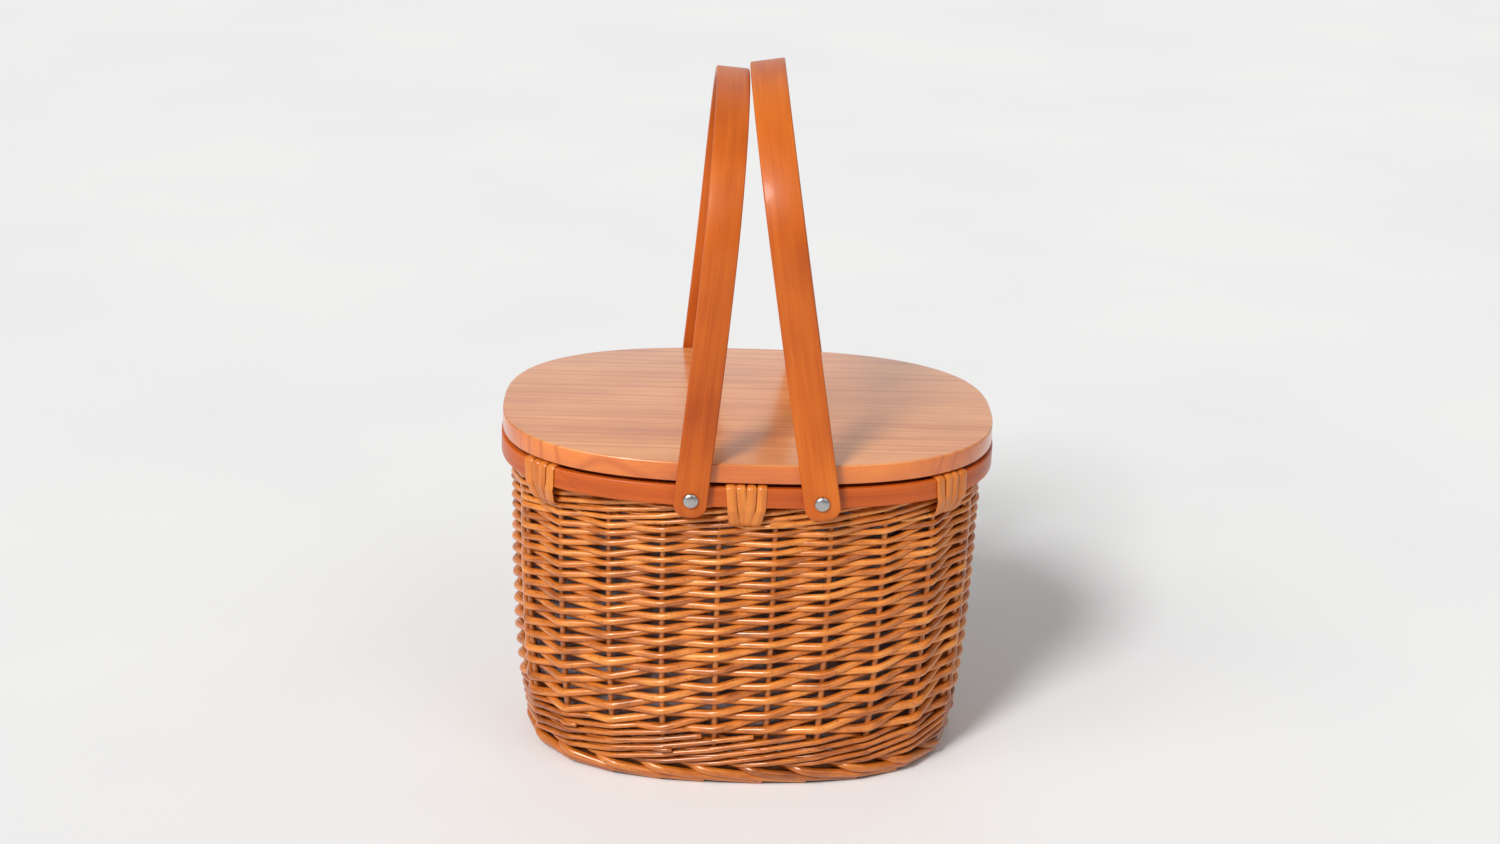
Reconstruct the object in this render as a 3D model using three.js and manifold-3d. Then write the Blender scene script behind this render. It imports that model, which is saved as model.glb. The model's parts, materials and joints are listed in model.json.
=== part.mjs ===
// Oval wicker picnic basket: a woven willow body with a bentwood rim, a cane-lashed top edge, two
// swinging bentwood handles, a lift-off board lid and an insulated lining. Millimetres, +Z up; the
// origin is the centre of the foot, on the surface that the basket stands on.

import * as THREE from 'three';
import { mergeVertices } from 'three/addons/utils/BufferGeometryUtils.js';
import Module from 'manifold-3d';

const wasm = await Module();
wasm.setup();

// Driving dimensions

const GAP = 0.3;                 // clearance kept between touching pieces

const OVAL_POWER = 2.58;         // exponent of the superellipse that every oval follows
const OVAL_SIDES = 48;           // facets round an oval
const LID_LENGTH = 400;
const LID_WIDTH = 280;
const LID_THICKNESS = 15.5;
const LID_UNDERSIDE = 273.5;     // height of the lid's lower face above the table
const LID_ARRIS = 3;             // softened top edge of the lid
const LID_SEAMS = [-42, 45];     // glue lines between the lid boards, along Y

const FOOT_HALF = 176.5;         // half-length of the woven wall's outer face at the table
const FLARE = 17.5;              // how much the half-length grows towards the rim
const BELLY_HEIGHT = 75;         // height over which most of the flare happens
const SIDE_RATIO = 0.9;          // growth of the half-width for each millimetre of half-length
const WALL = 13;                 // thickness of the woven wall

const FOOT_TOP = 18;
const UPSETT_TOP = 48.5;
const SIDING_TOP = 233.5;
const WALL_TOP = 268;

const RIM_BOTTOM = 253.5;
const RIM_HEIGHT = 16.5;
const OUTER_HOOP_HALF = 201;
const OUTER_HOOP = 5;            // thickness of the outer hoop
const INNER_HOOP = 4;            // thickness of the inner hoop

const STAKE_COUNT = 24;
const STAKE_RADIUS = 3.3;
const STAKE_SIDES = 6;
const STAKE_FOOT = 5;
const STAKE_STEPS = 3;

const BASE_BOTTOM = 6;
const BASE_THICKNESS = 8;

const LINING = 3;
const LINING_TOP = 255.5;

const LASHING_WIDTH = 33;
const LASHING = 2.6;             // thickness of the cane
const LASHING_DROP = 237;        // height of the outer leg's lower end
const LASHING_TURN = 0.70;       // angle between a corner lashing and the short axis, radians
const FACET_SHARES = [0, 0.125, 0.25, 0.375, 0.5, 0.625, 0.75, 0.875];   // places tried along a facet

const HANDLE_THICKNESS = 6;
const HANDLE_INSIDE = 142;       // distance of a leg's inner face from the long axis
const HANDLE_STRAIGHT = 192;     // straight length of a leg above its pivot
const HANDLE_END = 14;           // leg length below its pivot
const HANDLE_CORNER = 10;        // corner radius of a leg's end
const PIVOT_HEIGHT = 261.5;
const LEFT = { name: 'left', x: -45, reach: 303.5, lean: 4.7, width: 26 };
const RIGHT = { name: 'right', x: 56.4, reach: 313.5, lean: -9.2, width: 28 };

const RIVET_HEAD = 12;           // head diameter
const RIVET_DOME = 3.2;
const RIVET_SHANK = 4;
const RIVET_HOLE = 5;
const PIN_SIDES = 12;            // facets round rivets, washers and their holes
const WASHER = 10;
const WASHER_THICKNESS = 1.2;

const BATTEN_X = 110;
const BATTEN_LENGTH = 188;
const BATTEN_WIDTH = 22;
const BATTEN_THICKNESS = 10;
const SCREW_Y = [-70, 0, 70];
const SCREW_LENGTH = 18;
const SCREW_SHANK = 3.5;
const SCREW_HEAD = 7;
const SCREW_SIDES = 8;

// Finishes

const finish = (color, roughness, metalness = 0) => ({ color, roughness, metalness });
const WILLOW = finish('#c6793a', 0.42);
const WILLOW_DARK = finish('#b3662c', 0.45);
const CANE = finish('#d58a45', 0.42);
const PINE = finish('#dea06a', 0.4);
const BENTWOOD = finish('#bd6a34', 0.36);
const RIM_WOOD = finish('#ad5a30', 0.38);
const NICKEL = finish('#c9c9c6', 0.28, 1);
const STEEL = finish('#b4b4b2', 0.35, 1);
const FOIL = finish('#a9abae', 0.45, 0.6);

// Outlines

const halfWidth = (half) => LID_WIDTH / 2 - SIDE_RATIO * (LID_LENGTH / 2 - half);

function wallHalf(z) {
    const rise = (height) => 1 - Math.exp(-height / BELLY_HEIGHT);
    return FOOT_HALF + FLARE * rise(z) / rise(RIM_BOTTOM);
}

// Half-length and half-width of the oval of half-length `half`, drawn in by `inset` all round.
const oval = (half, inset = 0) => [half - inset, halfWidth(half) - inset];

const wallOval = (z, inset = 0) => oval(wallHalf(z), inset);

// Point of the oval with half-length `half` and half-width `width` at parameter angle `angle`.
function ovalPoint(angle, [half, width]) {
    const bend = (v) => Math.sign(v) * Math.abs(v) ** (2 / OVAL_POWER);
    return new THREE.Vector2(half * bend(Math.cos(angle)), width * bend(Math.sin(angle)));
}

// Y of the oval with half-length `half` and half-width `width` at distance x from the short axis.
function ovalY(x, [half, width]) {
    return width * (1 - Math.abs(x / half) ** OVAL_POWER) ** (1 / OVAL_POWER);
}

// Parameter angles of `count` points evenly spaced along the lid's oval, the first `offset`
// spacings after its +X end.
function evenAngles(count, offset = 0) {
    const fine = 20000;
    const lengths = [0];
    const lidOval = [LID_LENGTH / 2, LID_WIDTH / 2];
    let last = ovalPoint(0, lidOval);
    for (let i = 1; i <= fine; i++) {
        const next = ovalPoint(2 * Math.PI * i / fine, lidOval);
        lengths.push(lengths[i - 1] + next.distanceTo(last));
        last = next;
    }
    const angles = [];
    let i = 0;
    for (let k = 0; k < count; k++) {
        const target = lengths[fine] * (k + offset) / count;
        while (lengths[i] < target) i++;
        angles.push(2 * Math.PI * i / fine);
    }
    return angles;
}

const OVAL_ANGLES = evenAngles(OVAL_SIDES);
const STAKE_ANGLES = evenAngles(STAKE_COUNT, 0.5);

// Solids

function solid(geometry) {
    const bare = geometry.clone();
    bare.deleteAttribute('normal');
    bare.deleteAttribute('uv');
    const merged = mergeVertices(bare, 1e-4);
    const index = merged.index.array;
    const triangles = [];
    for (let i = 0; i < index.length; i += 3) {
        const [a, b, c] = index.slice(i, i + 3);
        if (a !== b && b !== c && a !== c) triangles.push(a, b, c);
    }
    return new wasm.Manifold(new wasm.Mesh({
        numProp: 3,
        vertProperties: new Float32Array(merged.attributes.position.array),
        triVerts: new Uint32Array(triangles),
    }));
}

function geometryOf(manifold) {
    const mesh = manifold.getMesh();
    const geometry = new THREE.BufferGeometry();
    geometry.setAttribute('position', new THREE.BufferAttribute(mesh.vertProperties, 3));
    geometry.setIndex(new THREE.BufferAttribute(mesh.triVerts, 1));
    geometry.computeVertexNormals();
    return geometry;
}

function extruded(shape, depth, options = {}) {
    return new THREE.ExtrudeGeometry(shape, { depth, bevelEnabled: false, curveSegments: 12, ...options });
}

// Solid oval whose outline passes through each [height, [half-length, half-width]] level in turn.
function ovalSolid(levels) {
    const steps = levels.length - 1;
    const unit = new THREE.Shape(OVAL_ANGLES.map((angle) => ovalPoint(angle, [1, 1])));
    const geometry = extruded(unit, steps, { steps });
    const position = geometry.attributes.position;
    for (let i = 0; i < position.count; i++) {
        const [z, [half, width]] = levels[Math.round(position.getZ(i))];
        position.setXYZ(i, position.getX(i) * half, position.getY(i) * width, z);
    }
    return solid(geometry);
}

// Ring between two ovals that stand straight up from z0 to z1.
function straightRing(z0, z1, outer, inner) {
    return ovalSolid([[z0, outer], [z1, outer]]).subtract(ovalSolid([[z0 - 1, inner], [z1 + 1, inner]]));
}

// Ring of the woven wall between the given heights, `proud` of the wall's outer face.
function wallRing(heights, proud = 0) {
    const outer = heights.map((z) => [z, wallOval(z, -proud)]);
    const inner = heights.map((z) => [z, wallOval(z, WALL)]);
    inner[0][0] -= 1;
    inner[inner.length - 1][0] += 1;
    return ovalSolid(outer).subtract(ovalSolid(inner));
}

// Cylinder along Y, centred on x and PIVOT_HEIGHT, from y0 to y1.
function pinHole(x, radius, y0, y1) {
    const geometry = new THREE.CylinderGeometry(radius, radius, y1 - y0, PIN_SIDES);
    geometry.translate(x, (y0 + y1) / 2, PIVOT_HEIGHT);
    return solid(geometry);
}

function drillForRivets(body) {
    for (const { x } of [LEFT, RIGHT]) {
        body = body.subtract(pinHole(x, RIVET_HOLE / 2, -LID_WIDTH, LID_WIDTH));
    }
    return body;
}

// Stakes

class StakePath extends THREE.Curve {
    constructor(angle, bottom, top) {
        super();
        Object.assign(this, { angle, bottom, top });
    }

    getPoint(t, target = new THREE.Vector3()) {
        const z = this.bottom + t * (this.top - this.bottom);
        const { x, y } = ovalPoint(this.angle, wallOval(z, WALL / 2));
        return target.set(x, y, z);
    }
}

function stakeRod(angle, radius, bottom, top) {
    const section = new THREE.Shape();
    section.moveTo(radius, 0);
    for (let i = 1; i < STAKE_SIDES; i++) {
        const turn = 2 * Math.PI * i / STAKE_SIDES;
        section.lineTo(radius * Math.cos(turn), radius * Math.sin(turn));
    }
    const extrudePath = new StakePath(angle, bottom, top);
    return extruded(section, 1, { steps: STAKE_STEPS, extrudePath });
}

const CHANNELS = STAKE_ANGLES.map((angle) => (
    solid(stakeRod(angle, STAKE_RADIUS + 2 * GAP, STAKE_FOOT - 1, WALL_TOP + 1))
));

function threadStakes(body) {
    return CHANNELS.reduce((ring, channel) => ring.subtract(channel), body);
}

// Parts

const basket = new THREE.Group();
basket.name = 'picnic_basket';

function add(parent, name, geometry, look) {
    const mesh = new THREE.Mesh(geometry, new THREE.MeshStandardMaterial(look));
    mesh.name = name;
    parent.add(mesh);
    return mesh;
}

function addBody() {
    const footOuter = [[0, wallOval(0, 3)], [5, wallOval(5)], [FOOT_TOP, wallOval(FOOT_TOP)]];
    const footInner = wallOval(FOOT_TOP, WALL);
    const foot = ovalSolid(footOuter).subtract(ovalSolid([[-1, footInner], [FOOT_TOP + 1, footInner]]));
    add(basket, 'foot_border', geometryOf(threadStakes(foot)), WILLOW_DARK);

    const upsett = wallRing([FOOT_TOP + GAP, 30, UPSETT_TOP - GAP], 1);
    add(basket, 'upsett_wale', geometryOf(threadStakes(upsett)), WILLOW);

    const siding = wallRing([UPSETT_TOP, 80, 130, SIDING_TOP]);
    add(basket, 'woven_siding', geometryOf(threadStakes(siding)), WILLOW);

    const topWale = wallRing([SIDING_TOP + GAP, WALL_TOP], 1);
    add(basket, 'top_wale', geometryOf(drillForRivets(threadStakes(topWale))), WILLOW);

    const edge = wallOval(FOOT_TOP, WALL + GAP);
    const base = ovalSolid([[BASE_BOTTOM, edge], [BASE_BOTTOM + BASE_THICKNESS, edge]]);
    add(basket, 'woven_base', geometryOf(base), WILLOW_DARK);
}

function addStakes() {
    STAKE_ANGLES.forEach((angle, i) => {
        const rod = stakeRod(angle, STAKE_RADIUS, STAKE_FOOT, WALL_TOP - 2);
        add(basket, `stake_${String(i + 1).padStart(2, '0')}`, geometryOf(solid(rod)), WILLOW_DARK);
    });
}

const RIM_TOP = RIM_BOTTOM + RIM_HEIGHT;
const INNER_HOOP_INSET = WALL + 2 * GAP;
const RIM_THROAT = wallOval(WALL_TOP, INNER_HOOP_INSET + INNER_HOOP);

function addRim() {
    const outer = straightRing(RIM_BOTTOM, RIM_TOP, oval(OUTER_HOOP_HALF), oval(OUTER_HOOP_HALF, OUTER_HOOP));
    add(basket, 'rim_outer_hoop', geometryOf(drillForRivets(outer)), RIM_WOOD);

    const inner = straightRing(RIM_BOTTOM, RIM_TOP, wallOval(WALL_TOP, INNER_HOOP_INSET), RIM_THROAT);
    add(basket, 'rim_inner_hoop', geometryOf(drillForRivets(inner)), RIM_WOOD);
}

function addLining() {
    const bottom = BASE_BOTTOM + BASE_THICKNESS + GAP;
    const levels = (inset) => {
        const sides = [30, 80, 150, 236].map((z) => [z, wallOval(z, WALL + 2 * GAP + inset)]);
        const throat = RIM_THROAT.map((half) => half - GAP - inset);
        const floor = wallOval(FOOT_TOP, WALL + 2 * GAP + inset);
        return [[bottom, floor], ...sides, [RIM_BOTTOM - GAP, throat], [LINING_TOP, throat]];
    };
    const hollow = levels(LINING);
    hollow[0][0] += LINING;
    hollow[hollow.length - 1][0] += 1;
    const lining = ovalSolid(levels(0)).subtract(ovalSolid(hollow));
    add(basket, 'insulated_lining', geometryOf(lining), FOIL);
}

// Cane band over the rim: down the outer face, over the top and a little way down inside. The
// profile lies in the plane of the local X (outwards) and Z axes and is extruded along local Y.
function lashingGeometry(outside, inside) {
    const top = RIM_TOP + GAP;
    const round = 3;
    const shape = new THREE.Shape();
    shape.moveTo(outside, LASHING_DROP);
    shape.lineTo(outside + LASHING, LASHING_DROP);
    shape.lineTo(outside + LASHING, top + LASHING - round);
    shape.absarc(outside + LASHING - round, top + LASHING - round, round, 0, Math.PI / 2);
    shape.lineTo(inside - LASHING + round, top + LASHING);
    shape.absarc(inside - LASHING + round, top + LASHING - round, round, Math.PI / 2, Math.PI);
    shape.lineTo(inside - LASHING, LINING_TOP + GAP);
    shape.lineTo(inside, LINING_TOP + GAP);
    shape.lineTo(inside, top);
    shape.lineTo(outside, top);
    const geometry = extruded(shape, LASHING_WIDTH, { curveSegments: 4 });
    geometry.translate(0, 0, -LASHING_WIDTH / 2);
    geometry.rotateX(Math.PI / 2);
    return geometry;
}

// Extent along `normal` of the part of an oval under a lashing centred `side` along the tangent.
function lashingReach(normal, side, outline) {
    const tangent = new THREE.Vector2(-normal.y, normal.x);
    const corners = OVAL_ANGLES.map((angle) => ovalPoint(angle, outline));
    const distances = corners.flatMap((corner, i) => {
        const next = corners[(i + 1) % corners.length];
        return FACET_SHARES.map((share) => corner.clone().lerp(next, share));
    }).filter((p) => Math.abs(p.dot(tangent) - side) < LASHING_WIDTH / 2 + 1 && p.dot(normal) > 0)
        .map((p) => p.dot(normal));
    return { least: Math.min(...distances), most: Math.max(...distances) };
}

function addLashing(name, direction) {
    const normal = new THREE.Vector2(Math.cos(direction), Math.sin(direction));
    const tangent = new THREE.Vector2(-normal.y, normal.x);
    const outline = evenAngles(OVAL_SIDES * 8).map((angle) => ovalPoint(angle, oval(OUTER_HOOP_HALF)));
    const touch = outline.reduce((best, p) => (p.dot(normal) > best.dot(normal) ? p : best));
    const side = touch.dot(tangent);
    const outside = lashingReach(normal, side, oval(OUTER_HOOP_HALF)).most + GAP;
    const inside = lashingReach(normal, side, RIM_THROAT).least - GAP;
    const band = add(basket, `lashing_${name}`, geometryOf(solid(lashingGeometry(outside, inside))), CANE);
    band.rotation.z = direction;
    band.position.set(side * tangent.x, side * tangent.y, 0);
}

function addLashings() {
    for (const [name, direction] of [['front', -Math.PI / 2], ['back', Math.PI / 2]]) {
        const toRight = name === 'front' ? LASHING_TURN : -LASHING_TURN;
        addLashing(name, direction);
        addLashing(`${name}_left`, direction - toRight);
        addLashing(`${name}_right`, direction + toRight);
    }
}

// Handle in its own frame: the pivot line is the local Y axis and the legs rise along local Z.
function handleGeometry(length, width) {
    const outside = HANDLE_INSIDE + HANDLE_THICKNESS;
    const arc = length - HANDLE_STRAIGHT;
    const band = new THREE.Shape();
    band.moveTo(outside, -HANDLE_END);
    band.lineTo(outside, HANDLE_STRAIGHT);
    band.absellipse(0, HANDLE_STRAIGHT, outside, arc, 0, Math.PI);
    band.lineTo(-outside, -HANDLE_END);
    band.lineTo(-HANDLE_INSIDE, -HANDLE_END);
    band.lineTo(-HANDLE_INSIDE, HANDLE_STRAIGHT);
    band.absellipse(0, HANDLE_STRAIGHT, HANDLE_INSIDE, arc - HANDLE_THICKNESS, Math.PI, 0, true);
    band.lineTo(HANDLE_INSIDE, -HANDLE_END);
    const bent = extruded(band, width, { curveSegments: 24 });
    bent.translate(0, 0, -width / 2);
    const toUpright = new THREE.Matrix4().makeBasis(
        new THREE.Vector3(0, 1, 0),
        new THREE.Vector3(0, 0, 1),
        new THREE.Vector3(1, 0, 0),
    );
    bent.applyMatrix4(toUpright);

    const side = width / 2;
    const corner = HANDLE_CORNER;
    const outline = new THREE.Shape();
    outline.moveTo(side + 1, length + 1);
    outline.lineTo(-side - 1, length + 1);
    outline.lineTo(-side - 1, 0);
    outline.lineTo(-side, corner - HANDLE_END);
    outline.absarc(corner - side, corner - HANDLE_END, corner, Math.PI, 1.5 * Math.PI);
    outline.absarc(side - corner, corner - HANDLE_END, corner, 1.5 * Math.PI, 2 * Math.PI);
    outline.lineTo(side + 1, 0);
    const silhouette = extruded(outline, 2 * outside + 2, { curveSegments: 5 });
    silhouette.translate(0, 0, -outside - 1);
    silhouette.rotateX(Math.PI / 2);

    const hole = new THREE.CylinderGeometry(RIVET_HOLE / 2, RIVET_HOLE / 2, 2 * outside + 2, PIN_SIDES);
    return geometryOf(solid(bent).intersect(solid(silhouette)).subtract(solid(hole)));
}

function addHandles() {
    for (const { name, x, reach: length, lean, width } of [LEFT, RIGHT]) {
        const handle = add(basket, `handle_${name}`, handleGeometry(length, width), BENTWOOD);
        handle.position.set(x, 0, PIVOT_HEIGHT);
        handle.rotation.y = THREE.MathUtils.degToRad(lean);
    }
}

// Rivet along local Z with its domed head on top; the under-face of the head is at z = 0.
function rivetGeometry(washerFace) {
    const shank = RIVET_SHANK / 2;
    const tail = washerFace + WASHER_THICKNESS + GAP;
    const profile = [new THREE.Vector2(0, -tail - 1.5), new THREE.Vector2(shank + 1, -tail - 1.2)];
    profile.push(new THREE.Vector2(shank + 1, -tail), new THREE.Vector2(shank, -tail));
    profile.push(new THREE.Vector2(shank, 0), new THREE.Vector2(RIVET_HEAD / 2, 0));
    const rings = 3;
    for (let i = 0; i <= rings; i++) {
        const turn = Math.PI / 2 * i / rings;
        const r = RIVET_HEAD / 2 * Math.cos(turn);
        profile.push(new THREE.Vector2(i === rings ? 0 : r, 0.8 + (RIVET_DOME - 0.8) * Math.sin(turn)));
    }
    const geometry = new THREE.LatheGeometry(profile, PIN_SIDES);
    geometry.rotateX(Math.PI / 2);
    return geometryOf(solid(geometry));
}

function washerGeometry() {
    const hole = RIVET_HOLE / 2;
    const rim = WASHER / 2;
    const section = [[hole, 0], [rim, 0], [rim, WASHER_THICKNESS], [hole, WASHER_THICKNESS], [hole, 0]];
    const geometry = new THREE.LatheGeometry(section.map(([r, z]) => new THREE.Vector2(r, z)), PIN_SIDES);
    geometry.rotateX(Math.PI / 2);
    return geometryOf(solid(geometry));
}

function addRivets() {
    const head = HANDLE_INSIDE + HANDLE_THICKNESS + GAP;
    for (const { name, x } of [LEFT, RIGHT]) {
        const washerFace = ovalY(Math.abs(x) + WASHER / 2, RIM_THROAT) - GAP;
        for (const [side, sign] of [['front', -1], ['back', 1]]) {
            const rivet = add(basket, `rivet_${name}_${side}`, rivetGeometry(head - washerFace), NICKEL);
            rivet.position.set(x, sign * head, PIVOT_HEIGHT);
            rivet.rotation.x = -sign * Math.PI / 2;

            const washer = add(basket, `washer_${name}_${side}`, washerGeometry(), STEEL);
            washer.position.set(x, sign * (washerFace - WASHER_THICKNESS), PIVOT_HEIGHT);
            washer.rotation.x = -sign * Math.PI / 2;
        }
    }
}

// Lid

const lid = new THREE.Group();
lid.name = 'lid';
lid.position.z = LID_UNDERSIDE;
basket.add(lid);

function screwPlaces() {
    return [-BATTEN_X, BATTEN_X].flatMap((x) => SCREW_Y.map((y) => [x, y]));
}

function screwHoles() {
    const length = SCREW_LENGTH + 1;
    return screwPlaces().map(([x, y]) => {
        const hole = new THREE.CylinderGeometry(SCREW_SHANK / 2 + GAP, SCREW_SHANK / 2 + GAP, length, SCREW_SIDES);
        hole.rotateX(Math.PI / 2);
        hole.translate(x, y, length / 2 - BATTEN_THICKNESS);
        return solid(hole);
    });
}

function addLidBoards() {
    const half = LID_LENGTH / 2;
    const width = LID_WIDTH / 2;
    const blank = ovalSolid([
        [0, [half, width]],
        [LID_THICKNESS - LID_ARRIS, [half, width]],
        [LID_THICKNESS - LID_ARRIS / 3, [half - LID_ARRIS / 3, width - LID_ARRIS / 3]],
        [LID_THICKNESS, [half - LID_ARRIS, width - LID_ARRIS]],
    ]);
    const edges = [-width - 1, ...LID_SEAMS, width + 1];
    ['front', 'middle', 'back'].forEach((name, i) => {
        const low = edges[i] + GAP / 2;
        const high = edges[i + 1] - GAP / 2;
        const strip = new THREE.BoxGeometry(LID_LENGTH + 2, high - low, LID_THICKNESS + 2);
        strip.translate(0, (low + high) / 2, LID_THICKNESS / 2);
        const board = screwHoles().reduce((wood, hole) => wood.subtract(hole), blank.intersect(solid(strip)));
        add(lid, `lid_board_${name}`, geometryOf(board), PINE);
    });
}

function addBattens() {
    const end = BATTEN_LENGTH / 2;
    const chamfer = BATTEN_THICKNESS / 2;
    const shape = new THREE.Shape();
    shape.moveTo(-end, -GAP);
    shape.lineTo(-end, -BATTEN_THICKNESS + chamfer);
    shape.lineTo(chamfer - end, -BATTEN_THICKNESS);
    shape.lineTo(end - chamfer, -BATTEN_THICKNESS);
    shape.lineTo(end, -BATTEN_THICKNESS + chamfer);
    shape.lineTo(end, -GAP);
    for (const [name, x] of [['left', -BATTEN_X], ['right', BATTEN_X]]) {
        const bar = extruded(shape, BATTEN_WIDTH);
        bar.translate(0, 0, -BATTEN_WIDTH / 2);
        bar.rotateX(Math.PI / 2);
        bar.rotateZ(Math.PI / 2);
        bar.translate(x, 0, 0);
        const batten = screwHoles().reduce((wood, hole) => wood.subtract(hole), solid(bar));
        add(lid, `lid_batten_${name}`, geometryOf(batten), PINE);
    }
}

// Pan-head screw up through a batten: the head bears on the batten's lower face.
function screwGeometry() {
    const shank = SCREW_SHANK / 2;
    const profile = [[0, -2], [SCREW_HEAD / 4, -1.8], [SCREW_HEAD / 2, -0.6], [SCREW_HEAD / 2, 0]];
    profile.push([shank, 0], [shank, SCREW_LENGTH - 3], [0, SCREW_LENGTH - 0.5]);
    const geometry = new THREE.LatheGeometry(profile.map(([r, z]) => new THREE.Vector2(r, z)), SCREW_SIDES);
    geometry.rotateX(Math.PI / 2);
    return geometryOf(solid(geometry));
}

function addScrews() {
    screwPlaces().forEach(([x, y], i) => {
        const screw = add(lid, `batten_screw_${i + 1}`, screwGeometry(), STEEL);
        screw.position.set(x, y, -BATTEN_THICKNESS - GAP);
    });
}

addBody();
addStakes();
addRim();
addLining();
addLashings();
addRivets();
addHandles();
addLidBoards();
addBattens();
addScrews();

export default basket;
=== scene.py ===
"""Looks of the wicker picnic basket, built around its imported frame. Lengths are in metres."""

import json
import math

import bpy
import numpy as np
from mathutils import Matrix, Vector


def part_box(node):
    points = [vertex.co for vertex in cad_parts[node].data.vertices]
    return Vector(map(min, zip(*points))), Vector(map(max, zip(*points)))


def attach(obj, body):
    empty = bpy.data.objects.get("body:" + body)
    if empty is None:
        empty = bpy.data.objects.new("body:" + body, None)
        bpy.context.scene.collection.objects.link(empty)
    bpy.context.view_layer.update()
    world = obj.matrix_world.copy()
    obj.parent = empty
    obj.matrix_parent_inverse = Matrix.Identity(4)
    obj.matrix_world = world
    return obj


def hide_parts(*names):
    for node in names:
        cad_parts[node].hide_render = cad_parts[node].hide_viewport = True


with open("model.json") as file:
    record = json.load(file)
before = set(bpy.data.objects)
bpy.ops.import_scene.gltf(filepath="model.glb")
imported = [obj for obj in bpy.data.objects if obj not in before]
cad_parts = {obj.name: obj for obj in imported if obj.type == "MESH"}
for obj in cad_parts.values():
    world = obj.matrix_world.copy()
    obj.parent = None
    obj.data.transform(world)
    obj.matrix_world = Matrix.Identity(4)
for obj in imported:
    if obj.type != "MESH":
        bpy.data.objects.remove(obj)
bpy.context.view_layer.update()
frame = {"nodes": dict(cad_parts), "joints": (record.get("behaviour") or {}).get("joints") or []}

MM = 0.001
RNG = np.random.default_rng(7)

# Driving dimensions shared with the frame

OVAL_POWER = 2.58               # exponent of the superellipse that every oval follows
FOOT_HALF = 176.5 * MM          # half-length of the woven wall's outer face at the table
FLARE = 17.5 * MM               # how much the half-length grows towards the rim
BELLY_HEIGHT = 75 * MM          # height over which most of the flare happens
SIDE_RATIO = 0.9                # growth of the half-width for each metre of half-length
STAKES = 24
STAKE_INSET = 6.5 * MM          # centre of the stakes, measured from the wall's outer face
WALL = 13 * MM                  # thickness of the woven wall
HOOP_OUT = 5 * MM               # thickness of the outer rim hoop
HOOP_IN = 4 * MM                # thickness of the inner rim hoop
HANDLE_INSIDE = 142 * MM        # distance of a leg's inner face from the long axis
HANDLE_THICKNESS = 6 * MM
HANDLE_STRAIGHT = 192 * MM      # straight length of a leg above its pivot
HANDLE_END = 14 * MM            # leg length below its pivot
HANDLE_CORNER = 10 * MM         # corner radius of a leg's end
SEAMS = (-42 * MM, 45 * MM)     # glue lines of the lid


def top_of(node):
    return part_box(node)[1].z


def bottom_of(node):
    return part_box(node)[0].z


FOOT_TOP = top_of("foot_border")
SIDING_BOTTOM = bottom_of("woven_siding")
SIDING_TOP = top_of("woven_siding")
RIM_LOW = bottom_of("rim_outer_hoop")
RIM_TOP = top_of("rim_outer_hoop")
OUTER_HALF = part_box("rim_outer_hoop")[1].x
OUTER_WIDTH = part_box("rim_outer_hoop")[1].y
LID_LOW = bottom_of("lid_board_middle")
LID_TOP = top_of("lid_board_middle")
LID_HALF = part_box("lid_board_middle")[1].x
LID_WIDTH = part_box("lid_board_back")[1].y
INNER_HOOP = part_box("rim_inner_hoop")[1]
THROAT = (INNER_HOOP.x - HOOP_IN, INNER_HOOP.y - HOOP_IN)     # inner face of the inner hoop
LINING_TOP = top_of("insulated_lining")
PIVOT_Z = frame["joints"][0]["pos_m"][2]


# Outlines

def half_width(half):
    return LID_WIDTH - SIDE_RATIO * (LID_HALF - half)


def wall_half(z):
    rise = 1 - np.exp(-np.asarray(z) / BELLY_HEIGHT)
    return FOOT_HALF + FLARE * rise / (1 - math.exp(-RIM_LOW / BELLY_HEIGHT))


def oval(angle, half, width):
    """Points of the superellipse at parameter angle."""
    c, s = np.cos(angle), np.sin(angle)
    x = half * np.sign(c) * np.abs(c) ** (2 / OVAL_POWER)
    y = width * np.sign(s) * np.abs(s) ** (2 / OVAL_POWER)
    return np.stack(np.broadcast_arrays(x, y), -1)


def arc_table():
    """Parameter angles round the lid's oval, and the length along it up to each."""
    angle = np.linspace(0, 2 * np.pi, 20001)
    steps = np.hypot(*np.diff(oval(angle, LID_HALF, LID_WIDTH), axis=0).T)
    return angle, np.concatenate([[0], np.cumsum(steps)])


ARC_ANGLE, ARC_LENGTH = arc_table()
PERIMETER = ARC_LENGTH[-1]


def angle_at(length):
    return np.interp(length % PERIMETER, ARC_LENGTH, ARC_ANGLE)


def even_angles(count):
    return np.interp(np.arange(count) / count * PERIMETER, ARC_LENGTH, ARC_ANGLE)


def reach_at(across, half, width):
    """Coordinate of an oval's edge along one axis, at distance `across` from the middle on the other."""
    return half * (1 - np.abs(across / width) ** OVAL_POWER) ** (1 / OVAL_POWER)


def at_height(flat, z):
    return np.concatenate([flat, np.full((len(flat), 1), z)], 1)


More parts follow.
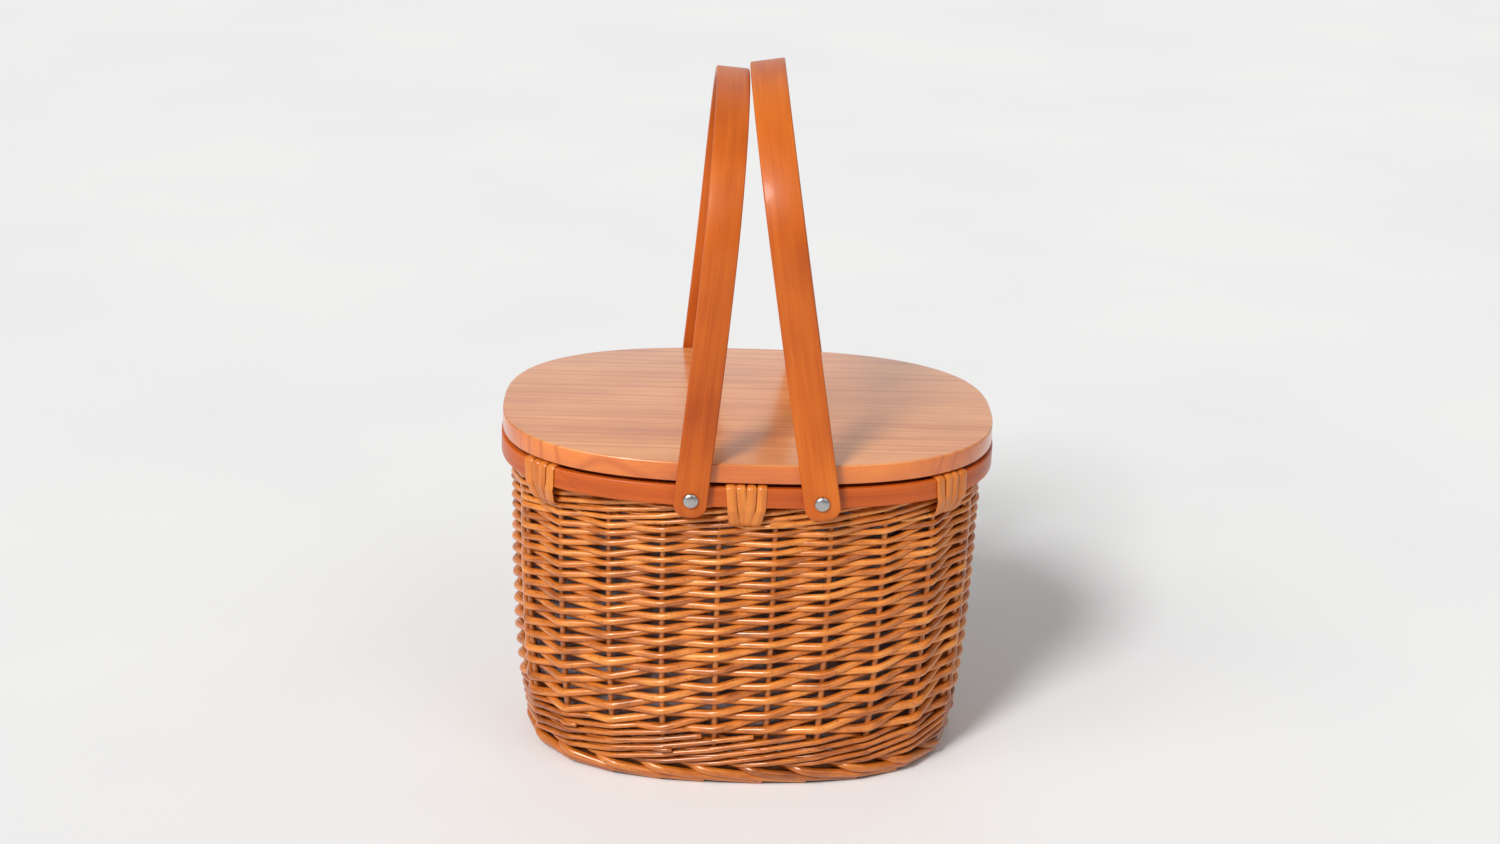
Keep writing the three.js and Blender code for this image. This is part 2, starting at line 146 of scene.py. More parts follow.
def wall_point(s, z, out=0.0):
    """Point of the woven wall at stake coordinate s and height z, `out` beyond the stakes' centre line.

    Between two stakes the wall runs straight, as rods do."""
    s, z, out = np.broadcast_arrays(np.asarray(s, float), z, out)
    lower = np.floor(s)
    share = (s - lower)[:, None]
    half = wall_half(z)
    ends, normals = [], []
    for step in (0, 1):
        angle = angle_at((lower + step + 0.5) % STAKES / STAKES * PERIMETER)
        a, b = half - STAKE_INSET, half_width(half) - STAKE_INSET
        p = oval(angle, a, b)
        n = np.stack([np.sign(p[:, 0]) * np.abs(p[:, 0] / a) ** (OVAL_POWER - 1) / a,
                      np.sign(p[:, 1]) * np.abs(p[:, 1] / b) ** (OVAL_POWER - 1) / b], -1)
        ends.append(p)
        normals.append(n / np.linalg.norm(n, axis=1)[:, None])
    flat = ends[0] * (1 - share) + ends[1] * share
    normal = normals[0] * (1 - share) + normals[1] * share
    normal /= np.linalg.norm(normal, axis=1)[:, None]
    return np.concatenate([flat + normal * out[:, None], z[:, None]], 1)


def smooth(values, width):
    """Values averaged along their first axis with a bell of `width` samples, ends kept."""
    reach = int(3 * width) + 1
    kernel = np.exp(-0.5 * (np.arange(-reach, reach + 1) / width) ** 2)
    kernel /= kernel.sum()
    flat = values.reshape(len(values), -1)
    first = 2 * flat[:1] - flat[reach:0:-1]
    last = 2 * flat[-1:] - flat[-2:-reach - 2:-1]
    padded = np.concatenate([first, flat, last])
    done = np.stack([np.convolve(column, kernel, "valid") for column in padded.T], -1)
    return done.reshape(values.shape)


# Mesh building

class Builder:
    """Gathers closed grids of points into one mesh with a grain coordinate and a tone on each vertex."""

    def __init__(self):
        self.points, self.grain, self.tone, self.faces = [], [], [], []
        self.count = 0

    def grid(self, points, grain, tone, loop=False):
        """points is (rings, sides, 3). loop joins the last ring to the first; otherwise both are capped."""
        rings, sides = points.shape[:2]
        index = np.arange(rings * sides).reshape(rings, sides) + self.count
        rows = np.concatenate([index, index[:1]]) if loop else index
        rows = np.concatenate([rows, rows[:, :1]], 1)
        quads = np.stack([rows[:-1, :-1], rows[:-1, 1:], rows[1:, 1:], rows[1:, :-1]], -1)
        self.faces += quads.reshape(-1, 4).tolist()
        if not loop:
            self.faces.append(index[0][::-1].tolist())
            self.faces.append(index[-1].tolist())
        self.points.append(points.reshape(-1, 3))
        self.grain.append(np.broadcast_to(grain, points.shape).reshape(-1, 3))
        self.tone.append(np.full(rings * sides, tone))
        self.count += rings * sides

    def build(self, name, material, sharp=62):
        mesh = bpy.data.meshes.new(name)
        mesh.from_pydata(np.concatenate(self.points).tolist(), [], self.faces)
        mesh.attributes.new("grain", "FLOAT_VECTOR", "POINT").data.foreach_set(
            "vector", np.concatenate(self.grain).astype(np.float32).ravel())
        mesh.attributes.new("tone", "FLOAT", "POINT").data.foreach_set(
            "value", np.concatenate(self.tone).astype(np.float32))
        mesh.validate()
        mesh.shade_smooth()
        mesh.set_sharp_from_angle(angle=math.radians(sharp))
        mesh.materials.append(material)
        obj = bpy.data.objects.new(name, mesh)
        bpy.context.scene.collection.objects.link(obj)
        return obj


UP = np.array([0.0, 0.0, 1.0])
SLANT = np.array([0.577, 0.577, 0.577])     # reference direction for rods that stand up


def directions(path, closed=False):
    if closed:
        d = np.roll(path, -1, 0) - np.roll(path, 1, 0)
    else:
        d = np.gradient(path, axis=0)
    return d / np.linalg.norm(d, axis=1)[:, None]


def run_of(path):
    """Length along `path` up to each of its points."""
    return np.concatenate([[0], np.cumsum(np.linalg.norm(np.diff(path, axis=0), axis=1))])


def unit(vector):
    return vector / np.linalg.norm(vector)


def circle(sides):
    """Cosines and sines of `sides` even turns."""
    turn = np.linspace(0, 2 * np.pi, sides, endpoint=False)
    return np.cos(turn), np.sin(turn)


def add_rod(builder, path, radius, tone, sides=10, start=0.0):
    """A round rod along `path`, its ends cut with a small bevel."""
    bevel, end_share = 0.25, 0.72
    radius = np.broadcast_to(np.asarray(radius, float), (len(path),))
    head = path[0] - unit(path[1] - path[0]) * radius[0] * bevel
    tail = path[-1] + unit(path[-1] - path[-2]) * radius[-1] * bevel
    path = np.concatenate([[head], path, [tail]])
    radius = np.concatenate([[radius[0] * end_share], radius, [radius[-1] * end_share]])
    tangent = directions(path)
    side = np.cross(tangent, UP)
    stands_up = np.linalg.norm(side, axis=1) < 0.2
    if stands_up.any():
        side = np.cross(tangent, SLANT)
    side /= np.linalg.norm(side, axis=1)[:, None]
    other = np.cross(side, tangent)
    cos, sin = circle(sides)
    ring = cos[None, :, None] * side[:, None] + sin[None, :, None] * other[:, None]
    points = path[:, None] + ring * radius[:, None, None]
    run = run_of(path) + start
    grain = np.stack(np.broadcast_arrays(run[:, None], cos[None] * radius[:, None],
                                         sin[None] * radius[:, None]), -1)
    builder.grid(points, grain, tone)


def add_strip(builder, path, outward, section, tone, width, start=0.0):
    """A strip whose flat section, (across, out) points, follows `path` facing `outward`. `width` is the
    share of the section's width kept at each point."""
    tangent = directions(path)
    out = outward - (outward * tangent).sum(1)[:, None] * tangent
    out /= np.linalg.norm(out, axis=1)[:, None]
    across = np.cross(tangent, out)
    a = section[None, :, 0] * width[:, None]
    o = np.broadcast_to(section[None, :, 1], a.shape)
    points = path[:, None] + across[:, None] * a[..., None] + out[:, None] * o[..., None]
    run = run_of(path) + start
    grain = np.stack([np.broadcast_to(run[:, None], a.shape), a, o], -1)
    builder.grid(points, grain, tone)


def rounded_box(width, height, radius):
    """Outline of a rounded rectangle about its centre, anticlockwise."""
    steps = 3
    points = []
    for cx, cy, first in ((1, 1, 0), (-1, 1, 1), (-1, -1, 2), (1, -1, 3)):
        for i in range(steps + 1):
            turn = math.pi / 2 * (first + i / steps)
            points.append((cx * (width / 2 - radius) + radius * math.cos(turn),
                           cy * (height / 2 - radius) + radius * math.sin(turn)))
    return np.array(points)


def place(obj, body, slot, *nodes):
    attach(obj, body)
    if nodes:
        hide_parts(*nodes)
    return obj


# Materials

class Look:
    """Node material made from a chain of short calls."""

    def __init__(self, name):
        self.material = bpy.data.materials.new(name)
        self.material.use_nodes = True
        self.tree = self.material.node_tree
        self.shader = self.tree.nodes["Principled BSDF"]

    def node(self, kind, sockets=None, **settings):
        made = self.tree.nodes.new("ShaderNode" + kind)
        for key, value in settings.items():
            setattr(made, key, value)
        for key, value in (sockets or {}).items():
            self.set(made.inputs[key], value)
        return made

    def set(self, socket, value):
        if isinstance(value, bpy.types.NodeSocket):
            self.tree.links.new(value, socket)
        else:
            socket.default_value = value

    def attribute(self, name, output="Fac"):
        return self.node("Attribute", attribute_name=name).outputs[output]

    def grain(self, scale, shift=0.0):
        """Grain coordinate stretched by `scale`, moved apart for each tone."""
        tone = self.attribute("tone")
        moved = self.node("VectorMath", {0: self.attribute("grain", "Vector")}, operation="ADD")
        spread = self.node("CombineXYZ", {"X": self.math("MULTIPLY", tone, 3.7 + shift),
                                          "Y": self.math("MULTIPLY", tone, 0.9),
                                          "Z": self.math("MULTIPLY", tone, 1.7)})
        self.set(moved.inputs[1], spread.outputs[0])
        return self.scaled(moved.outputs[0], scale)

    def noise(self, vector, scale, detail=3.0, roughness=0.55, distortion=0.0):
        return self.node("TexNoise", {"Vector": vector, "Scale": scale, "Detail": detail,
                                      "Roughness": roughness, "Distortion": distortion}).outputs["Fac"]

    def scaled(self, vector, scale):
        return self.node("Mapping", {"Vector": vector, "Scale": scale}).outputs[0]

    def math(self, operation, a, b=0.0, c=None):
        made = self.node("Math", {0: a, 1: b}, operation=operation)
        if c is not None:
            self.set(made.inputs[2], c)
        return made.outputs[0]

    def ramp(self, value, stops):
        made = self.node("ValToRGB", {"Fac": value})
        elements = made.color_ramp.elements
        while len(elements) < len(stops):
            elements.new(0.5)
        for element, (position, colour) in zip(elements, stops):
            element.position = position
            element.color = (*colour, 1)
        return made.outputs["Color"]

    def level(self, value, low, high):
        """Value mapped from low..high to 0..1."""
        return self.node("MapRange", {"Value": value, "From Min": low, "From Max": high}).outputs[0]

    def mix(self, share, a, b, blend="MIX"):
        made = self.node("Mix", data_type="RGBA", blend_type=blend)
        self.set(made.inputs[0], share)
        self.set(made.inputs[6], (*a, 1) if isinstance(a, tuple) else a)
        self.set(made.inputs[7], (*b, 1) if isinstance(b, tuple) else b)
        return made.outputs[2]

    def bump(self, height, strength, distance):
        made = self.node("Bump", {"Height": height, "Strength": strength, "Distance": distance})
        self.set(self.shader.inputs["Normal"], made.outputs[0])

    def finish(self, colour, roughness, **sockets):
        self.set(self.shader.inputs["Base Color"], colour)
        self.set(self.shader.inputs["Roughness"], roughness)
        for name, value in sockets.items():
            self.set(self.shader.inputs[name.replace("_", " ")], value)
        return self.material


def willow(name, pale, mid, dark, coat=0.5):
    """Varnished willow rod: mottled and streaked along its length, lumpy, with dark specks and scars."""
    look = Look(name)
    tone = look.attribute("tone")
    fibres = look.noise(look.grain((60, 900, 900)), 1.0, 4, 0.6)
    patches = look.noise(look.grain((32, 90, 90), 1.0), 1.0, 4, 0.65)
    lumps = look.noise(look.grain((110, 200, 200), 3.0), 1.0, 3, 0.6)
    blend = look.math("MULTIPLY_ADD", look.math("SUBTRACT", tone, 0.5), 0.12,
                      look.math("MULTIPLY_ADD", fibres, 0.34, look.math("MULTIPLY", patches, 0.66)))
    colour = look.ramp(blend, [(0.34, dark), (0.49, mid), (0.64, pale)])
    cell = look.node("TexVoronoi", {"Vector": look.grain((230, 620, 620), 2.0), "Scale": 1.0})
    chance = look.node("SeparateColor", {"Color": cell.outputs["Color"]}).outputs[0]
    spot = look.level(cell.outputs["Distance"], 0.30, 0.14)
    speck = look.math("MULTIPLY", spot, look.level(chance, 0.74, 0.78))
    scar = look.level(look.noise(look.grain((70, 520, 520), 5.0), 1.0, 2, 0.5), 0.70, 0.78)
    stain = look.math("MAXIMUM", look.math("MULTIPLY", speck, 0.85), look.math("MULTIPLY", scar, 0.6))
    colour = look.mix(stain, colour, (0.08, 0.018, 0.005))
    look.bump(look.math("MULTIPLY_ADD", lumps, 1.6, fibres), 0.45, 0.28 * MM)
    roughness = look.math("MULTIPLY_ADD", patches, 0.3, 0.22)
    return look.finish(colour, roughness, Coat_Weight=coat, Coat_IOR=1.6,
                       Coat_Roughness=look.math("MULTIPLY_ADD", lumps, 0.3, 0.08),
                       Specular_IOR_Level=0.9, Specular_Tint=(1, 0.74, 0.5, 1))


def timber(name, light, mid, dark, stripe, stripe_share, coat, rough, gloss, lines=None, edge=None):
    """Board or strip with lengthwise grain: broad stripes, fine fibres and small pores. `lines` is the
    scale, number and strength of growth rings. `edge` tints the lid's sides darker and more orange:
    partly their thirstier varnish, partly painted shade standing in for the paler sheen on the glossy top."""
    look = Look(name)
    broad = look.noise(look.grain(stripe), 1.0, 3, 0.55, 0.15)
    fibres = look.noise(look.grain((12, 700, 700), 1.0), 1.0, 5, 0.65)
    cloud = look.noise(look.grain((9, 22, 22), 2.0), 1.0, 2)
    soft = look.math("MULTIPLY", cloud, 0.78 - stripe_share)
    blend = look.math("MULTIPLY_ADD", broad, stripe_share, look.math("MULTIPLY_ADD", fibres, 0.22, soft))
    colour = look.ramp(blend, [(0.33, dark), (0.50, mid), (0.66, light)])
    if lines:
        scale, count, strength = lines
        late = look.noise(look.grain(scale, 4.0), 1.0, 1, 0.4, 0.1)
        line = look.level(look.math("PINGPONG", look.math("MULTIPLY", late, count), 0.5), 0.34, 0.5)
        colour = look.mix(look.math("MULTIPLY", line, strength), colour, dark)
    pores = look.level(look.noise(look.grain((150, 1900, 1900), 3.0), 1.0, 2), 0.66, 0.74)
    colour = look.mix(look.math("MULTIPLY", pores, 0.35), colour, tuple(0.55 * c for c in dark))
    # Sides below the top take the `edge` tint: partly their own varnish tone, partly painted shade against
    # the top's sheen.
    if edge:
        height = look.node("SeparateXYZ", {"Vector": look.attribute("grain", "Vector")}).outputs["Z"]
        side_tone_and_shade = look.level(height, LID_TOP - 0.3 * MM, LID_TOP - 1.5 * MM)
        colour = look.mix(side_tone_and_shade, colour, edge, "MULTIPLY")
    look.bump(look.math("SUBTRACT", fibres, pores), 0.12, 0.15 * MM)
    roughness = look.math("MULTIPLY_ADD", cloud, 0.16, rough - 0.06)
    return look.finish(colour, roughness, Coat_Weight=coat, Coat_Roughness=0.16, Specular_IOR_Level=gloss)


def metal(name, colour, roughness):
    """Plated metal with faint hammering and wear."""
    look = Look(name)
    where = look.node("TexCoord").outputs["Object"]
    wear = look.noise(look.scaled(where, (260, 260, 260)), 1.0, 4)
    shade = look.ramp(wear, [(0.35, tuple(0.82 * c for c in colour)), (0.62, colour)])
    look.bump(wear, 0.25, 0.2 * MM)
    return look.finish(shade, look.math("MULTIPLY_ADD", wear, 0.2, roughness - 0.1), Metallic=1.0)


def foil(name):
    """Silver-grey coated lining fabric: fine woven backing pressed through, small creases."""
    look = Look(name)
    where = look.node("TexCoord").outputs["Object"]
    spread = look.noise(look.scaled(where, (45, 45, 30)), 1.0, 5, 0.6, 0.4)
    fine = look.noise(look.scaled(where, (900, 900, 900)), 1.0, 2)
    shade = look.ramp(spread, [(0.3, (0.28, 0.25, 0.28)), (0.55, (0.44, 0.41, 0.44)),
                               (0.75, (0.66, 0.63, 0.66))])
    look.bump(look.math("MULTIPLY_ADD", fine, 0.15, spread), 0.5, 1.2 * MM)
    return look.finish(shade, look.math("MULTIPLY_ADD", spread, 0.25, 0.28), Metallic=0.55)


WILLOW = willow("willow_rod", (0.78, 0.28, 0.045), (0.58, 0.152, 0.012), (0.26, 0.050, 0.003))
# Darker willow for the foot border and upsett wale: painted shade for the dimmer light low on the wall.
FOOT_WILLOW_SHADED = willow("willow_foot_shaded", (0.60, 0.175, 0.016), (0.44, 0.100, 0.005), (0.19, 0.035, 0.002))
# The stakes' willow is darker than the weavers': painted shade for the shadow the weavers cast on them.
STAKE_WILLOW_SHADED = willow("willow_stake_shaded", (0.56, 0.19, 0.040), (0.42, 0.115, 0.017), (0.24, 0.056, 0.007))
BASE_WILLOW = willow("willow_base", (0.62, 0.26, 0.085), (0.46, 0.15, 0.040), (0.28, 0.078, 0.016))
CANE = timber("cane_strip", (0.74, 0.245, 0.038), (0.62, 0.175, 0.021), (0.45, 0.10, 0.009),
              (30, 420, 420), 0.4, coat=0.3, rough=0.36, gloss=0.35)
HANDLE_WOOD = timber("handle_bentwood", (0.64, 0.155, 0.014), (0.52, 0.104, 0.007), (0.37, 0.058, 0.003),
                     (9, 150, 150), 0.28, coat=0.12, rough=0.42, gloss=0.25)
RIM_WOOD = timber("rim_bentwood", (0.63, 0.128, 0.009), (0.50, 0.086, 0.005), (0.34, 0.047, 0.0025),
                  (4, 150, 150), 0.45, coat=0.2, rough=0.38, gloss=0.3)
# The lid's sides are tinted by `edge`: partly their own varnish tone, partly painted shade against the
# top's sheen.
PINE = timber("lid_pine", (0.80, 0.345, 0.122), (0.70, 0.262, 0.080), (0.54, 0.160, 0.038),
              (1.2, 160, 40), 0.28, coat=0.8, rough=0.32, gloss=0.5, lines=((0.45, 17, 7), 15.0, 0.75),
              edge=(0.97, 0.62, 0.22))
NICKEL = metal("nickel", (0.50, 0.48, 0.48), 0.30)
STEEL = metal("zinc_steel", (0.45, 0.45, 0.44), 0.38)
FOIL = foil("foil_lining")


# Woven body

PITCH_LOW = 13.9 * MM           # height between front crossings at the bottom of the siding
PITCH_STEP = 0.4 * MM           # how much closer each next pair of crossings lies
LEVELS = 17                     # front crossings of each weaver
FIRST_CROSSING = SIDING_BOTTOM + 4.8 * MM
BEHIND_SHARE = 0.66             # share of its rise that a weaver makes before it passes behind a stake
BUTT = 3.4 * MM                 # radius of a weaver at its thick end
TIP = 2.35 * MM                 # and at its thin end
OVERHANG = 0.25                 # how far a weaver runs on past its last stakes, in stake spacings
WANDER = 1.4 * MM               # how far a weaver strays from its course
LUMPS = 0.12                    # how much its radius varies
SAMPLES = 12                    # points of a rod between two stakes
STAKE_RADIUS = 2.5 * MM


def crossing_height(m):
    return FIRST_CROSSING + PITCH_LOW * m - PITCH_STEP * m * (m - 1) / 2


def randing():
    """French randing: a weaver starts at each stake, in front of one and behind one, always rising."""
    rods = Builder()
    for first in range(STAKES):
        stops = np.arange(-1, 2 * LEVELS)
        m = np.floor(stops / 2)
        low = crossing_height(m)
        odd = stops % 2 == 1
        z = np.where(odd, low + BEHIND_SHARE * (crossing_height(m + 1) - low), low)
        z += RNG.normal(0, 0.5 * MM, len(z))
        butt = BUTT * RNG.uniform(0.92, 1.07)
        tip = TIP * RNG.uniform(0.90, 1.08)
        s = np.arange(stops[0] - OVERHANG, stops[-1] + OVERHANG, 1 / SAMPLES)
        radius = butt + (tip - butt) * (s - s[0]) / (s[-1] - s[0])
        stand = np.interp(s, stops, np.where(odd, -1.0, 1.0))
        out = stand * (1.8 * MM + 0.92 * radius)
        height = np.interp(s, stops, z)
        path = smooth(wall_point(s + first, height, smooth(out, 0.7)), 0.75)
        wobble = smooth(RNG.normal(0, 1, (len(s), 3)), 4.0) * WANDER
        radius = radius * (1 + smooth(RNG.normal(0, 1, len(s)), 2.0) * LUMPS)
        add_rod(rods, path + wobble * np.array([0.4, 0.4, 1.0]), radius, RNG.random(), start=first * 1.7)
    place(rods.build("siding_weavers", WILLOW), "basket_body", "willow", "woven_siding")


def wale(name, node, bottom, rounds, radius, extra=0.0, material=FOOT_WILLOW_SHADED):
    """Three-rod wale: each rod climbs across two stakes in front and drops back behind the third.
    `extra` is how far the rods stand out beyond their places."""
    rods = Builder()
    pitch, swing, lumps = 3.4 * radius, 6.2 * radius, 0.08
    turns = [0, 0.42, 1, 2, 2.6, 3]
    for phase in range(3):
        s = np.arange(phase, phase + STAKES * rounds + 0.01, 1 / SAMPLES)
        u = (s - phase) % 3
        stand = np.interp(u, turns, [-1.0, 0.1, 0.92, 1.0, 0.3, -1.0])
        lift = np.interp(u, turns, [0.0, -0.5, -0.24, 0.27, 0.5, 0.0])
        size = radius * RNG.uniform(0.95, 1.05)
        out = stand * (STAKE_RADIUS + size) + extra
        z = bottom + pitch * s / STAKES + lift * swing
        knots = np.arange(s[0], s[-1] + 1)
        z = z + np.interp(s, knots, RNG.normal(0, 0.35 * MM, len(knots)))
        path = smooth(wall_point(s, smooth(z, 1.0), smooth(out, 0.8)), 0.8)
        thick = size * (1 + smooth(RNG.normal(0, 1, len(s)), 2.0) * lumps)
        add_rod(rods, path, thick, RNG.random(), start=phase * 3.1)
    for _ in range(int(rounds * 2)):
        rise = pitch * RNG.uniform(0.3, rounds - 0.3)
        add_cut_end(rods, RNG.integers(0, STAKES), bottom + rise, radius)
    place(rods.build(name, material), "basket_body", "willow", node)


def add_cut_end(rods, stake, z, radius):
    """End of a finished rod, left resting on the outside of a stake."""
    s = np.linspace(stake - 0.5, stake + RNG.uniform(0.1, 0.26), 9)
    out = np.interp(s, [stake - 0.5, stake - 0.25, stake], [-1, 2.0, 5.6]) * MM
    rise = np.linspace(-2.0, 0.8, len(s)) * MM
    add_rod(rods, wall_point(s, z + rise, out + 1.2 * MM), radius * 0.9, RNG.random())


def stakes():
    for i in range(STAKES):
        rod = Builder()
        z = np.linspace(FOOT_TOP + 1.5 * MM, RIM_TOP - 4.5 * MM, 40)
        path = wall_point(np.full(len(z), float(i)), z)
        add_rod(rod, path, np.linspace(2.65, 2.35, len(z)) * MM, RNG.random(), start=i * 0.9)
        node = f"stake_{i + 1:02d}"
        place(rod.build(f"willow_{node}", STAKE_WILLOW_SHADED), "basket_body", "willow", node)


# Height, stand-off and radius of a border rod in mm, each at a number of stakes past its own
BORDER_HEIGHT = ((0.1, 0.5, 0.68, 0.9, 1.4, 2.0, 2.88), (19, 15.4, 14.0, 12.4, 9.2, 6.2, 3.3))
BORDER_OUT = ((0.1, 0.35, 0.56, 0.72, 1.0, 1.6, 2.2, 2.88), (-2.5, -4.0, -1.0, 4.4, 5.6, 4.4, 3.2, 2.4))
BORDER_RADIUS = ((0.1, 0.7, 1.6, 2.88), (3.2, 3.6, 3.5, 2.9))


def foot_border():
    """Each stake's end, brought out before the next stake and laid down to the right across two."""
    rods = Builder()
    for i in range(STAKES):
        t = np.linspace(0.1, 2.88 + RNG.normal(0, 0.05), 64)
        z = np.interp(t, *BORDER_HEIGHT) * MM
        out = np.interp(t, *BORDER_OUT) * MM
        size = np.interp(t, *BORDER_RADIUS) * MM * RNG.uniform(0.94, 1.06)
        z = np.maximum(smooth(z, 1.2) + RNG.normal(0, 0.3 * MM), size + 0.1 * MM)
        path = smooth(wall_point(i + t, z, smooth(out, 1.0) - 1.0 * MM), 1.0)
        add_rod(rods, path, size, RNG.random(), sides=12, start=i * 1.3)
    place(rods.build("foot_border_rods", FOOT_WILLOW_SHADED), "basket_body", "willow", "foot_border")


def base():
    """Plain weave of short rods over long sticks, edged by one thick rod."""
    rods = Builder()
    stick, weaver, edge = 2.2 * MM, 2.0 * MM, 3.4 * MM
    lo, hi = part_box("woven_base")
    middle = (lo.z + hi.z) / 2
    half, width = hi.x - 3.5 * MM, hi.y - 3.5 * MM
    sticks = np.linspace(-0.86, 0.86, 9) * width
    for y in sticks:
        reach = reach_at(y, half, width)
        x = np.linspace(-reach, reach, 30)
        path = np.stack(np.broadcast_arrays(x, y, middle), -1)
        add_rod(rods, path, stick, RNG.random())
    pitch = 4.6 * MM
    count = int(2 * half / pitch) - 1
    for i in range(count):
        x = (i - (count - 1) / 2) * pitch
        reach = reach_at(x, width, half)
        if reach < 12 * MM:
            continue
        y = np.linspace(-reach, reach, max(12, int(reach / (1.9 * MM))))
        wave = np.cos(np.pi * (y - sticks[0]) / (sticks[1] - sticks[0]) + np.pi * (i % 2))
        path = np.stack(np.broadcast_arrays(x, y, middle + wave * 1.7 * MM), -1)
        add_rod(rods, path, weaver, RNG.random(), start=i * 0.7)
    add_ring(rods, at_height(oval(even_angles(144), half, width), middle), edge)
    place(rods.build("base_rods", BASE_WILLOW), "basket_body", "base_willow", "woven_base")


def add_ring(builder, path, radius, sides=10):
    """A closed round rod."""
    side = np.cross(directions(path, closed=True), UP)
    cos, sin = circle(sides)
    points = path[:, None] + radius * (cos[None, :, None] * side[:, None] + sin[None, :, None] * UP)
    grain = np.stack(np.broadcast_arrays(run_of(path)[:, None], radius * cos[None], radius * sin[None]), -1)
    builder.grid(points, grain, 0.4, loop=True)


def shrunk(ring, share, z):
    """A ring drawn in to `share` of its size and laid at height z."""
    copy = ring.copy()
    copy[:, :2] *= share
    copy[:, 2] = z
    return copy


def lining():
    """Soft insulated lining, a little creased, with a bound top edge."""
    thickness, clearance, deepest = 2.6 * MM, 0.6 * MM, 2 * MM
    mean_half = 150 * MM
    heights = np.concatenate([np.linspace(15, 236, 60), np.linspace(240, 251, 5)]) * MM
    angle = even_angles(220)
    throat = (THROAT[0] - 0.5 * MM, THROAT[1] - 0.5 * MM)
    bed = bottom_of("insulated_lining")
    rough = RNG.normal(0, 1, (len(angle), len(heights)))
    crease = smooth(smooth(rough, 1.6).T.copy(), 2.2).T * 3.2 * MM

    def surface(inset):
        rings = []
        for k, z in enumerate(heights):
            a = min(wall_half(z) - WALL - clearance, throat[0]) - inset
            b = min(half_width(wall_half(z)) - WALL - clearance, throat[1]) - inset
            fade = min(1, (LINING_TOP - z) / (30 * MM), (z - bed) / (20 * MM))
            pull = np.clip(np.abs(crease[:, k]), 0, deepest) * max(fade, 0)
            ring = oval(angle, a - pull[0], b - pull[0]) * (1 - pull / mean_half)[:, None]
            rings.append(at_height(ring, z))
        return np.array(rings)

    outer = surface(0.0)
    inner = surface(thickness)[::-1]
    under = [shrunk(outer[0], share, bed + 0.2 * MM) for share in (0.02, 0.5, 0.97)]
    floor = []
    for share in (0.97, 0.8, 0.5, 0.2, 0.02):
        ripple = 0.8 * MM * np.sin(7 * angle) * share if share < 0.9 else 0
        floor.append(shrunk(inner[-1], share, bed + 2.8 * MM + ripple))
    rows = np.concatenate([np.array(under), outer, inner, np.array(floor)])
    shell = Builder()
    shell.grid(rows, rows, 0.5)
    cloth = place(shell.build("lining_foil", FOIL, 50), "basket_body", "foil_lining", "insulated_lining")

    edge = Builder()
    add_ring(edge, shrunk(inner[1], 1, LINING_TOP - 1.2 * MM), 1.6 * MM, 8)
    place(edge.build("lining_binding", FOIL), "basket_body", "foil_lining")


# Rim

def hoop(name, node, outer, thickness, scarf_at=None):
    """Bentwood hoop. With scarf_at, its two ends meet there in a slanted glued lap."""
    section = rounded_box(thickness, RIM_TOP - RIM_LOW, 1.1 * MM)
    middle = (RIM_LOW + RIM_TOP) / 2
    count, glue_line, slant, slanted = 288, 0.2 * MM, -1.3, 12
    if scarf_at is None:
        lengths = np.arange(count) / count * PERIMETER
    else:
        lengths = np.linspace(glue_line, PERIMETER - glue_line, count) + scarf_at
    inset = thickness / 2 - section[:, 0]
    rings, grains = [], []
    for i, length in enumerate(lengths):
        from_end = min(i, count - 1 - i)
        lean = 0 if scarf_at is None else slant * max(0, 1 - from_end / slanted)
        p = oval(angle_at(length + lean * section[:, 1]), outer[0] - inset, outer[1] - inset)
        rings.append(np.concatenate([p, (middle + section[:, 1])[:, None]], 1))
        grains.append(np.stack(np.broadcast_arrays(length, section[:, 1], section[:, 0]), -1))
    ring = Builder()
    ring.grid(np.array(rings), np.array(grains), 0.3, loop=scarf_at is None)
    place(ring.build(name, RIM_WOOD), "basket_body", "rim_wood", node)


def rim():
    scarf = PERIMETER * 0.628 - 5.5 * MM
    hoop("rim_hoop_outer", "rim_outer_hoop", (OUTER_HALF, OUTER_WIDTH), HOOP_OUT, scarf)
    hoop("rim_hoop_inner", "rim_inner_hoop", (INNER_HOOP.x, INNER_HOOP.y), HOOP_IN)


CORNER_TURN = 0.70              # angle between a corner lashing and the short axis, radians
FRONT, BACK = -math.pi / 2, math.pi / 2
LASHINGS = {"front": FRONT, "back": BACK,
            "front_left": FRONT - CORNER_TURN, "front_right": FRONT + CORNER_TURN,
            "back_left": BACK + CORNER_TURN, "back_right": BACK - CORNER_TURN}
LASHING_SHIFT = 3 * MM          # how far left of its place's middle a lashing sits, seen from outside

# Across position at the top, at the rim's lower edge and at the end, width, and stand-off, in mm
STRIPS = ((-12.0, -10.4, -8.0, 8.0, 1.1), (-3.6, -2.4, -1.2, 7.0, 0.0), (4.2, 3.8, 2.2, 7.1, 0.5),
          (12.2, 12.0, 8.2, 7.5, 1.1))


